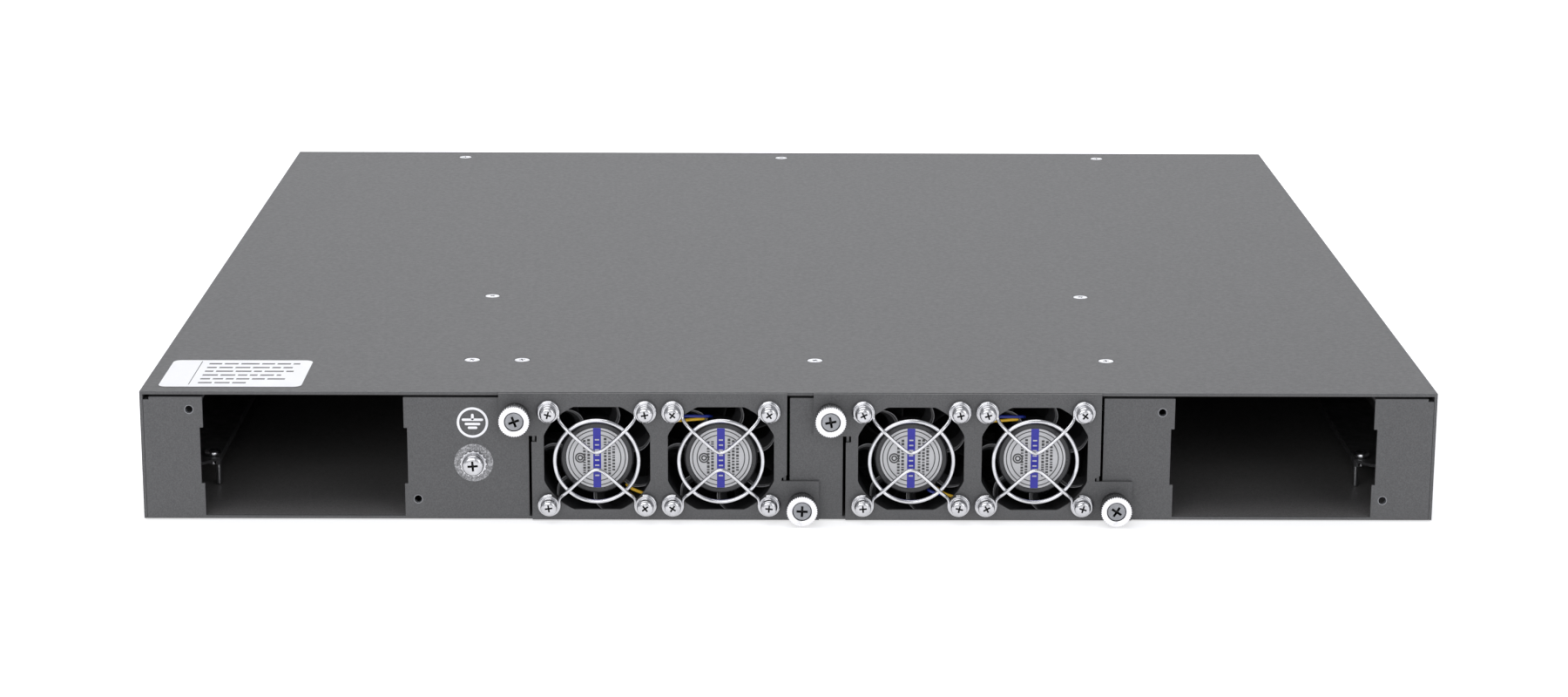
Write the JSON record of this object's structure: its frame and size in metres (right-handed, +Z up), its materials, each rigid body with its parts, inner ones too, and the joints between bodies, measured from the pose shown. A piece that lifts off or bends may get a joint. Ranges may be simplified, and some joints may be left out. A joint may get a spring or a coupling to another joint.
{
  "type": "rackmount network switch",
  "caption": "Flat rackmount network switch with open power-supply bays, pull-out fan modules on thumbscrews, and front port cages.",
  "frame": {"origin": "on the resting plane, below the middle of the whole switch's bounding box", "axes": "+X to the right when facing the rear panel with its fans, +Y from the rear panel to the front panel, +Z up"},
  "size_m": [0.43, 0.4402, 0.0436],
  "materials": {
    "powder_coat": "fine-textured grey powder coat",
    "inner_steel": "plain galvanised sheet",
    "zinc_fastener": "bright zinc plating",
    "guard_wire": "bright nickel plating",
    "cage_steel": "tin-plated spring steel",
    "fan_plastic": "black moulded plastic",
    "rotor_plastic": "black moulded plastic",
    "connector_plastic": "black moulded plastic",
    "thumbscrew_knob": "satin nickel plating",
    "thumbscrew_collar": "dark plated steel",
    "circuit_board": "green solder mask",
    "heat_sink": "extruded aluminium",
    "label_print": "printed film labels and screen printing",
    "lead_insulation": "coloured wire insulation",
    "lamp_lens": "milky light-pipe lens",
    "gold_contact": "gold-plated contacts"
  },
  "bodies": {
    "chassis": {"base_tray": "powder_coat", "top_cover": "powder_coat", "rear_panel": "powder_coat", "front_panel": "powder_coat", "main_board": "circuit_board", "heat_sink": "heat_sink", "fan_backplane": "circuit_board", "management_jacks": "cage_steel", "psu_bay_wall_left": "inner_steel", "psu_bay_wall_right": "inner_steel", "psu_rail_left": "inner_steel", "psu_rail_right": "inner_steel", "psu_rail_screw_left": "zinc_fastener", "psu_rail_screw_right": "zinc_fastener", "psu_connector_left": "connector_plastic", "psu_connector_right": "connector_plastic", "port_cage_1": "cage_steel", "port_cage_2": "cage_steel", "port_cage_3": "cage_steel", "port_cage_4": "cage_steel", "cover_screw_1": "zinc_fastener", "cover_screw_2": "zinc_fastener", "cover_screw_3": "zinc_fastener", "cover_screw_4": "zinc_fastener", "cover_screw_5": "zinc_fastener", "cover_screw_6": "zinc_fastener", "cover_screw_7": "zinc_fastener", "cover_screw_8": "zinc_fastener", "cover_screw_9": "zinc_fastener", "ground_screw": "zinc_fastener", "ground_washer": "zinc_fastener"},
    "fan_module_1": {"fan_tray_1": "powder_coat", "fan_plug_1": "connector_plastic", "fan_frame_1": "fan_plastic", "fan_frame_2": "fan_plastic", "fan_guard_1": "guard_wire", "fan_guard_2": "guard_wire", "thumbscrew_collar_1": "thumbscrew_collar", "thumbscrew_collar_2": "thumbscrew_collar"},
    "rotor_1": {"fan_rotor_1": "rotor_plastic"},
    "rotor_2": {"fan_rotor_2": "rotor_plastic"},
    "thumbscrew_travel_1": {"thumbscrew_sleeve_1": "thumbscrew_collar"},
    "thumbscrew_knob_1": {"thumbscrew_1": "thumbscrew_knob"},
    "thumbscrew_travel_2": {"thumbscrew_sleeve_2": "thumbscrew_collar"},
    "thumbscrew_knob_2": {"thumbscrew_2": "thumbscrew_knob"},
    "fan_module_2": {"fan_tray_2": "powder_coat", "fan_plug_2": "connector_plastic", "fan_frame_3": "fan_plastic", "fan_frame_4": "fan_plastic", "fan_guard_3": "guard_wire", "fan_guard_4": "guard_wire", "thumbscrew_collar_3": "thumbscrew_collar", "thumbscrew_collar_4": "thumbscrew_collar"},
    "rotor_3": {"fan_rotor_3": "rotor_plastic"},
    "rotor_4": {"fan_rotor_4": "rotor_plastic"},
    "thumbscrew_travel_3": {"thumbscrew_sleeve_3": "thumbscrew_collar"},
    "thumbscrew_knob_3": {"thumbscrew_3": "thumbscrew_knob"},
    "thumbscrew_travel_4": {"thumbscrew_sleeve_4": "thumbscrew_collar"},
    "thumbscrew_knob_4": {"thumbscrew_4": "thumbscrew_knob"}
  },
  "joints": [
    {"name": "fan_module_1_slide", "type": "slide", "parent": "chassis", "child": "fan_module_1", "axis": [0, -1, 0], "range_m": [0, 0.065]},
    {"name": "rotor_1_spin", "type": "hinge", "parent": "fan_module_1", "child": "rotor_1", "pos_m": [-0.06385, -0.19275, 0.0213], "axis": [0, -1, 0], "continuous": true},
    {"name": "rotor_2_spin", "type": "hinge", "parent": "fan_module_1", "child": "rotor_2", "pos_m": [-0.02275, -0.19275, 0.0213], "axis": [0, -1, 0], "continuous": true},
    {"name": "thumbscrew_1_travel", "type": "slide", "parent": "fan_module_1", "child": "thumbscrew_travel_1", "axis": [0, -1, 0], "range_m": [0, 0.0042]},
    {"name": "thumbscrew_1_turn", "type": "hinge", "parent": "thumbscrew_travel_1", "child": "thumbscrew_knob_1", "pos_m": [-0.0908, -0.21775, 0.0358], "axis": [0, -1, 0], "range_deg": [0, 2160]},
    {"name": "thumbscrew_2_travel", "type": "slide", "parent": "fan_module_1", "child": "thumbscrew_travel_2", "axis": [0, -1, 0], "range_m": [0, 0.0042]},
    {"name": "thumbscrew_2_turn", "type": "hinge", "parent": "thumbscrew_travel_2", "child": "thumbscrew_knob_2", "pos_m": [0.0042, -0.21775, 0.0053], "axis": [0, -1, 0], "range_deg": [0, 2160]},
    {"name": "fan_module_2_slide", "type": "slide", "parent": "chassis", "child": "fan_module_2", "axis": [0, -1, 0], "range_m": [0, 0.065]},
    {"name": "rotor_3_spin", "type": "hinge", "parent": "fan_module_2", "child": "rotor_3", "pos_m": [0.04045, -0.19275, 0.0213], "axis": [0, -1, 0], "continuous": true},
    {"name": "rotor_4_spin", "type": "hinge", "parent": "fan_module_2", "child": "rotor_4", "pos_m": [0.08155, -0.19275, 0.0213], "axis": [0, -1, 0], "continuous": true},
    {"name": "thumbscrew_3_travel", "type": "slide", "parent": "fan_module_2", "child": "thumbscrew_travel_3", "axis": [0, -1, 0], "range_m": [0, 0.0042]},
    {"name": "thumbscrew_3_turn", "type": "hinge", "parent": "thumbscrew_travel_3", "child": "thumbscrew_knob_3", "pos_m": [0.0135, -0.21775, 0.0358], "axis": [0, -1, 0], "range_deg": [0, 2160]},
    {"name": "thumbscrew_4_travel", "type": "slide", "parent": "fan_module_2", "child": "thumbscrew_travel_4", "axis": [0, -1, 0], "range_m": [0, 0.0042]},
    {"name": "thumbscrew_4_turn", "type": "hinge", "parent": "thumbscrew_travel_4", "child": "thumbscrew_knob_4", "pos_m": [0.1085, -0.21775, 0.0053], "axis": [0, -1, 0], "range_deg": [0, 2160]}
  ],
  "couplings": [
    {"joint": "thumbscrew_1_turn", "follows": "thumbscrew_1_travel", "rad_per_m": 8976},
    {"joint": "thumbscrew_2_turn", "follows": "thumbscrew_2_travel", "rad_per_m": 8976},
    {"joint": "thumbscrew_3_turn", "follows": "thumbscrew_3_travel", "rad_per_m": 8976},
    {"joint": "thumbscrew_4_turn", "follows": "thumbscrew_4_travel", "rad_per_m": 8976}
  ]
}
